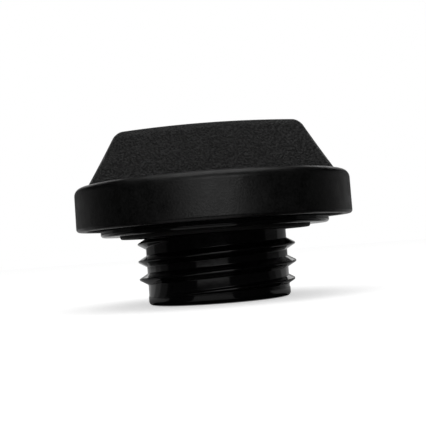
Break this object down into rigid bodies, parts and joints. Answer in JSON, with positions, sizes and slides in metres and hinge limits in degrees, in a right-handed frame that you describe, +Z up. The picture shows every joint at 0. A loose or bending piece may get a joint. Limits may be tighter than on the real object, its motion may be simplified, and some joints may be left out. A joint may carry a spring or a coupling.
{
  "type": "oil filler cap",
  "caption": "Black screw-in oil filler cap: a hollow bar grip on a skirted disc, over a hollow plug with a coarse outside thread and a rubber sealing ring.",
  "frame": {"origin": "centre of the plug's lower end, which the cap stands on", "axes": "+Z up the thread's axis towards the grip, X along the grip bar, Y across it"},
  "size_m": [0.0624, 0.0624, 0.0397],
  "materials": {
    "cover_plastic": "black glass-filled nylon, moulded with a fine grained texture, satin on the turned faces",
    "insert_plastic": "black nylon, moulded smooth and glossy",
    "ring_rubber": "black nitrile rubber, moulded matte"
  },
  "bodies": {
    "root": {"grip_cover": "cover_plastic", "threaded_insert": "insert_plastic", "sealing_ring": "ring_rubber"}
  },
  "joints": []
}
